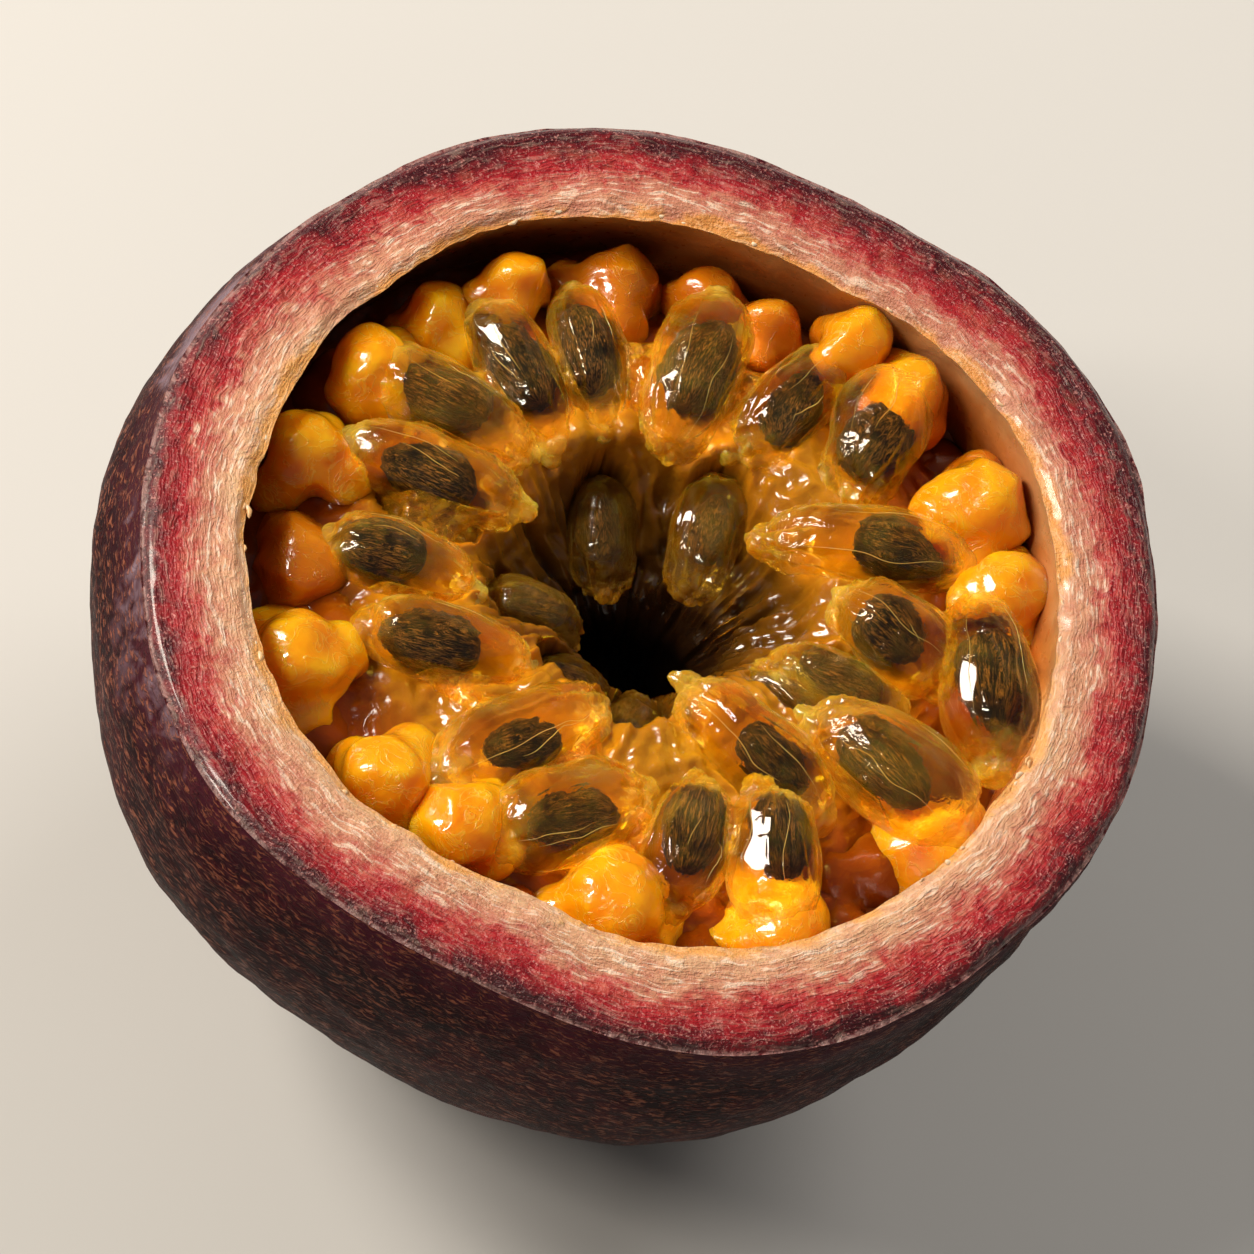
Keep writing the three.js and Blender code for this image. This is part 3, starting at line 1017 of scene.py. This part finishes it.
def strand_over(sac, place, half, thick, dice):
    """A thread that lies on the upper side of a sac."""
    start, end = sorted((dice.uniform(-0.95, 0.1), dice.uniform(0.2, 0.95)))
    lean = dice.uniform(0.6, 2.5)
    points = []
    for k in range(12):
        along = start + (end - start) * k / 11
        angle = lean + 0.3 * noise.noise(Vector((along * 1.5, lean * 9, 0)))
        reach = thick * math.sqrt(max(1 - along**2, 0.05)) * 1.3
        spot = place @ Vector((along * half, reach * math.cos(angle), reach * math.sin(angle)))
        _, on_sac, normal, _ = sac.closest_point_on_mesh(spot)
        points.append(on_sac + normal * 0.02)
    return strand(points, dice.uniform(0.014, 0.030))


def make_strands(strands, finish):
    piece = joined(strands[1:] + strands[:1], "jelly_strands")
    paint(piece, finish)
    settle(piece, "sac_gel")


def make_film(first, second, dice):
    """A golden skin of jelly hung between two neighbouring sacs, scalloped over the hollow."""
    across, along = 24, 36
    pick()
    bpy.ops.mesh.primitive_grid_add(x_subdivisions=across, y_subdivisions=along, size=2)
    piece = bpy.context.object
    grid = corners(piece)
    u, v = (grid[:, 0] + 1) / 2, (grid[:, 1] + 1) / 2
    sides = []
    for row, side in ((first, 1), (second, -1)):
        place = pulp_place(*row[:5])
        half, thick = row[5] / 2, row[6] / 2
        t = 0.6 - 1.5 * v  # from the outer half of the sac to its inner end
        bow = np.sqrt(np.clip(1 - t**2, 0.0, 1))
        local = np.stack([t * half, side * thick * bow * 0.84, thick * (bow * 0.42 - 0.05)], axis=1)
        turn = np.array(place.to_3x3())
        sides.append(local @ turn.T + np.array(place.translation))
    places = sides[0] * (1 - u)[:, None] + sides[1] * u[:, None]
    hang = 4 * u * (1 - u)
    gap = np.linalg.norm(sides[0] - sides[1], axis=1)
    # The free edge draws back in the middle, and the skin sags and puckers.
    middle = np.stack([np.full_like(u, RIM_SHIFT), np.zeros_like(u)], axis=1)
    away = places[:, :2] - middle
    away /= np.linalg.norm(away, axis=1)[:, None]
    places[:, :2] += away * (hang * v**2 * np.minimum(gap * 0.45, 2.4))[:, None]
    places[:, 2] -= hang * np.minimum(gap * 0.30, 1.3)
    tag = dice.uniform(0, 50)
    places[:, 2] -= 2.2 * (1 - smooth_step(v, 0.0, 0.35))  # its outer edge sinks into the bed
    pucker = noise_at(places, 1.3, tag) * 0.35 + noise_at(places, 0.5, tag, ridged=True) * 0.14
    places[:, 2] += pucker * np.sqrt(hang)
    move_corners(piece, places)
    shaped_by(piece, "SOLIDIFY", thickness=0.14, offset=0)
    shaped_by(piece, "SUBSURF", levels=1, render_levels=1)
    return piece


def make_films(film):
    """Skins between neighbours of the upper layer that lie much the same way."""
    ring = sorted(row for name, row in SACS.items() if name.startswith("sac"))
    dice = random.Random(5)
    films = []
    for first, second in zip(ring, ring[1:] + ring[:1]):
        alike = abs(first[3] - second[3]) < 30
        if alike and SACS["sac_10"] not in (first, second):
            films.append(make_film(first, second, dice))
    piece = joined(films, "jelly_films")
    paint(piece, film)
    piece.visible_shadow = False
    settle(piece, "sac_gel")


def make_bulb(name, row, finish):
    """One stalk bulb by the wall."""
    bearing, distance, depth, radius = row
    dice = random.Random(name)
    # A main lobe, a lobe that reaches in to the sac, and lower ones that meet the next bulbs.
    lobes = [ball(name + "_lobe", 32, 24, radius)]
    reach = (-radius * dice.uniform(0.6, 0.9), radius * dice.uniform(-0.25, 0.25), -radius * 0.15)
    lobes.append(ball(name + "_lobe", 24, 18, radius * 0.72, reach))
    for side in (-1, 1):
        at = (
            radius * dice.uniform(-0.3, 0.4),
            side * radius * dice.uniform(0.6, 0.95),
            -radius * dice.uniform(0.3, 0.6),
        )
        lobes.append(ball(name + "_lobe", 24, 18, radius * dice.uniform(0.55, 0.8), at))
    piece = melted(lobes, name + "_bulb", 0.25, 30)
    places = corners(piece)
    tag = bearing * 0.21
    swell = noise_at(places, 3.0, tag) * 0.5 + noise_at(places, 1.2, tag) * 0.1
    swell += noise_at(places, 2.6, tag + 1, ridged=True) * 0.32
    move_corners(piece, places + outward_at(piece) * swell[:, None])
    fixed(piece, pulp_place(bearing, distance, depth))
    places = corners(piece)
    # Painted shade: those behind the hollow are darkened as if they lay deeper.
    shade = 4.0 * smooth_step(places[:, 1], 8, 19) + SHADED.get(name, 0)
    mark(piece, "shade_depth", RIM_Z - places[:, 2] + shade)
    paint(piece, finish)
    settle(piece, "stalk_bulb", name)


def make_lumps(jelly):
    """Rounded lumps of jelly that fill the gaps by the wall, under the bulbs."""
    dice = random.Random(11)
    lumps = []
    for k in range(LUMPS):
        bearing = k * 360 / LUMPS + dice.uniform(-4, 4)
        distance, depth = dice.uniform(17.5, 22.0), dice.uniform(6.8, 8.8)
        at = pulp_place(bearing, distance, depth).translation
        lumps.append(ball("pulp_lump", 20, 14, dice.uniform(1.5, 2.8), at))
    piece = melted(lumps, "pulp_lumps", 0.3, 6)
    places = corners(piece)
    places = places + outward_at(piece) * noise_at(places, 2.0, 7)[:, None] * 0.35
    # None of it reaches through the wall.
    across = np.hypot(places[:, 0] - RIM_SHIFT, places[:, 1])
    inward = np.minimum(1, (BODY_RADIUS - SHELL_THICKNESS + 1.5) / across)
    widen(places, inward, RIM_SHIFT)
    # The depth under the cut, by which the shader paints shade.
    mark(piece, "shade_depth", RIM_Z - places[:, 2])
    mark(piece, "outward", across * inward)
    move_corners(piece, places)
    paint(piece, jelly)
    settle(piece, "pulp_bed")


def make_nibs(finish):
    """Small torn flakes of pith along the inner edge of the cut."""
    dice = random.Random(23)
    nibs = []
    inside = math.sqrt((BODY_RADIUS - SHELL_THICKNESS) ** 2 - CUT_RISE**2)
    for _ in range(NIBS):
        bearing = dice.uniform(0, math.tau)
        size = dice.uniform(0.07, 0.22)
        nib = ball("nib", 8, 6, 1.0)
        places = corners(nib)
        places = places * (size * dice.uniform(0.5, 0.9), size * dice.uniform(0.8, 2.4), size * 0.6)
        places[:, 0] += 0.25 * np.abs(places[:, 1])
        move_corners(nib, places)
        out = inside + dice.uniform(-0.05, 0.35)
        spot = Matrix.Translation(
            (RIM_SHIFT + out * math.cos(bearing), out * math.sin(bearing), RIM_Z - 0.35)
        )
        fixed(nib, spot @ Matrix.Rotation(bearing + dice.uniform(-0.3, 0.3), 4, "Z"))
        nibs.append(nib)
    piece = joined(nibs, "pith_nibs")
    places = corners(piece)
    bearing = np.arctan2(places[:, 1], places[:, 0] - RIM_SHIFT)
    widen(places, outline_swell(bearing, 1), RIM_SHIFT)
    move_corners(piece, places)
    paint(piece, finish)
    settle(piece, "pith")


# The jelly's top: distance from the axis, then depth under the cut behind and before the hollow.
BED_TOP = (
    (0.0, 21.0, 21.0), (1.8, 20.0, 19.0), (2.8, 17.0, 13.8), (3.8, 14.6, 10.6), (5.0, 12.6, 8.2),
    (6.2, 11.2, 6.2), (7.6, 10.0, 4.9), (8.8, 8.4, 4.4), (9.8, 6.4, 4.2), (11.0, 4.9, 4.2),
    (13.0, 4.4, 4.4), (16.0, 4.8, 5.0), (19.0, 5.6, 5.8), (21.5, 6.4, 6.6), (25.5, 7.2, 7.2),
)
HOLLOW_SHIFT = (0.8, 1.6)
HOLLOW_REACH = 9  # how far out the hollow's lean is felt
TOP_SHARE = 0.9  # of the bed's grid; the rest goes down the wall and under


def sac_heights(x, y, row):
    """Whether a sac is over each place, and its lowest and highest height there."""
    place = pulp_place(*row[:5])
    half, thick = row[5] / 2 * 0.98, row[6] / 2 * 0.98
    turn = np.array(place.to_3x3()).T / np.array([half, thick, thick])[:, None]
    start = np.stack([x - place[0][3], y - place[1][3], np.full_like(x, -place[2][3])])
    a = turn @ start
    b = turn[:, 2]
    # Where an upright line meets the ellipsoid: a quadratic in the height.
    k2 = b @ b
    k1 = b @ a
    k0 = (a * a).sum(axis=0) - 1
    inside = k1**2 - k2 * k0
    root = np.sqrt(np.maximum(inside, 0))
    return inside > 0, (-k1 - root) / k2, (-k1 + root) / k2


def make_bed(jelly):
    """Jelly that wraps the lower part of every sac and falls away into the hollow."""
    around, along = 360, 150
    pick()
    bpy.ops.mesh.primitive_grid_add(x_subdivisions=around, y_subdivisions=along, size=2)
    piece = bpy.context.object
    piece.name = "jelly_bed"
    places = corners(piece)
    bearing = places[:, 0] * math.pi
    t = (places[:, 1] + 1) / 2
    wall = BODY_RADIUS - SHELL_THICKNESS + 1.2
    edge_depth = BED_TOP[-1][1]
    edge = math.sqrt(wall**2 - (edge_depth - CUT_RISE) ** 2)
    top = t < TOP_SHARE
    distance = np.where(top, t / TOP_SHARE * edge, edge)
    x0, y0 = distance * np.cos(bearing), distance * np.sin(bearing)
    near = np.exp(-((distance / HOLLOW_REACH) ** 2))
    radii, behind, before = zip(*BED_TOP)
    front = smooth_step(np.cos(bearing + math.radians(75)), -0.35, 0.75)
    depth = np.interp(distance, radii, behind) * (1 - front)
    depth += np.interp(distance, radii, before) * front
    by_wall = smooth_step(distance, 13, 22)
    swell = outline_swell(bearing, by_wall)
    lean = RIM_SHIFT * (1 - by_wall + by_wall * smooth_step(RIM_Z - depth, BELLY_Z, RIM_Z))
    x = lean + x0 * swell + HOLLOW_SHIFT[0] * near
    y = y0 * swell + HOLLOW_SHIFT[1] * near
    flat = np.stack([x, y, depth * 0.5], axis=1)
    spokes = np.stack([np.cos(bearing) * 6, np.sin(bearing) * 6, distance * 0.12], axis=1)
    folds = noise_at(spokes, 0.7, 3, ridged=True) * np.exp(-(((distance - 7) / 5) ** 2))
    small = noise_at(flat, 0.9, 4, ridged=True)
    depth = depth - 0.9 * folds * smooth_step(distance, 1.5, 4) - 0.3 * small
    depth -= noise_at(flat, 2.5, 5) * 0.5 * smooth_step(distance, 1, 5)
    z = RIM_Z - depth
    for name, row in SACS.items():
        over, low, high = sac_heights(x, y, row)
        hold = low + (high - low) * 0.25  # the jelly comes a little way up each sac
        z = np.where(over & (z > hold), hold, z)
    # Below the edge the bed follows the wall down to its lowest point.
    down = (t - TOP_SHARE) / (1 - TOP_SHARE)
    start = math.acos((edge_depth - CUT_RISE) / wall)
    angle = start * (1 - np.clip(down, 0, 1))
    under = np.stack(
        [
            wall * np.sin(angle) * np.cos(bearing) * swell,
            wall * np.sin(angle) * np.sin(bearing) * swell,
            BELLY_Z - wall * np.cos(angle),
        ],
        axis=1,
    )
    places = np.where(top[:, None], np.stack([x, y, z], axis=1), under)
    # The depth under the cut, by which the shader paints shade.
    mark(piece, "shade_depth", RIM_Z - places[:, 2])
    mark(piece, "outward", distance)
    move_corners(piece, places)
    sewn(piece, 1e-3)
    shaped_by(piece, "SMOOTH", factor=0.5, iterations=4)
    for name, size, height in (("jelly_swell", 2.2, 0.7), ("jelly_pucker", 0.8, 0.25)):
        ruffled(piece, name, size, height)
    paint(piece, jelly)
    settle(piece, "pulp_bed", "pulp_bed")


# ---- Studio ----


def make_floor():
    pick()
    bpy.ops.mesh.primitive_plane_add(size=4)
    floor = bpy.context.object
    floor.name = "studio_floor"
    paint(floor, floor_finish())


def make_light(name, view, offset, size, power, colour):
    """A softbox aimed at the rim, `offset` metres right, up and forward of it in the view."""
    rim = Vector((RIM_SHIFT, 0, RIM_Z)) * MM
    data = bpy.data.lights.new(name, "AREA")
    data.shape = "RECTANGLE"
    data.size, data.size_y = size
    data.energy = power
    data.color = colour
    light = bpy.data.objects.new(name, data)
    bpy.context.collection.objects.link(light)
    light.location = rim + view @ Vector(offset)
    light.rotation_euler = (rim - light.location).to_track_quat("-Z", "Y").to_euler()
    return light


def make_camera():
    """Long lens, from the front and well above, rolled a little; returns which way it looks."""
    lift, roll, away = math.radians(58.7), math.radians(22.1), 350
    off_right, off_up = 1.90, 3.40  # the rim's middle lies this far right of and above the aim
    forward = Vector((0, math.cos(lift), -math.sin(lift)))
    level_up = Vector((0, math.sin(lift), math.cos(lift)))
    right = math.cos(roll) * Vector((1, 0, 0)) + math.sin(roll) * level_up
    up = -math.sin(roll) * Vector((1, 0, 0)) + math.cos(roll) * level_up
    rim = Vector((RIM_SHIFT, 0, RIM_Z))
    spot = rim - off_right * right - off_up * up - away * forward
    data = bpy.data.cameras.new("camera")
    data.sensor_width = 36
    data.lens = 180.1
    data.clip_start = 0.02
    camera = bpy.data.objects.new("camera", data)
    bpy.context.collection.objects.link(camera)
    turn = Matrix((right, up, -forward)).transposed()
    camera.matrix_world = Matrix.Translation(spot * MM) @ turn.to_4x4()
    bpy.context.scene.camera = camera
    return Matrix((right, up, forward)).transposed()


# ---- The whole scene ----

scene = bpy.context.scene
scene.view_settings.view_transform = "Standard"
scene.cycles.adaptive_threshold = 0.06
scene.cycles.caustics_reflective = False
scene.cycles.max_bounces = 7
scene.cycles.diffuse_bounces = 2
scene.cycles.glossy_bounces = 3
scene.cycles.transmission_bounces = 6
view = make_camera()
make_floor()

WARM, SOFT_WARM = (1.0, 0.92, 0.80), (1.0, 0.95, 0.88)
make_light("key_softbox", view, (-0.35, 0.37, -0.28), (0.14, 0.30), 3.8, WARM)
make_light("glint_strip", view, (-0.33, 0.17, -0.46), (0.04, 0.20), 1.1, WARM)
back = make_light("back_strip", view, (0.30, 0.40, -0.04), (0.30, 0.12), 1.3, SOFT_WARM)
back.visible_glossy = False

world = bpy.data.worlds.new("studio")
scene.world = world
world.use_nodes = True
background = world.node_tree.nodes["Background"]
background.inputs["Color"].default_value = (0.95, 0.93, 0.88, 1)
background.inputs["Strength"].default_value = 0.11

skin, flesh = skin_finish(), flesh_finish()
make_rind(skin, flesh)
make_pith(flesh, lining_finish())
make_nibs(nib_finish())
jelly = bed_finish()
make_bed(jelly)
make_lumps(jelly)

gel, seed_skin = gel_finish(), seed_finish()
strands = []
for name, row in SACS.items():
    strands += make_sac(name, row, gel, seed_skin)
make_strands(strands, strand_finish())
make_films(film_finish())
orange = bulb_finish()
for name, row in BULBS.items():
    make_bulb(name, row, orange)

bpy.context.view_layer.update()
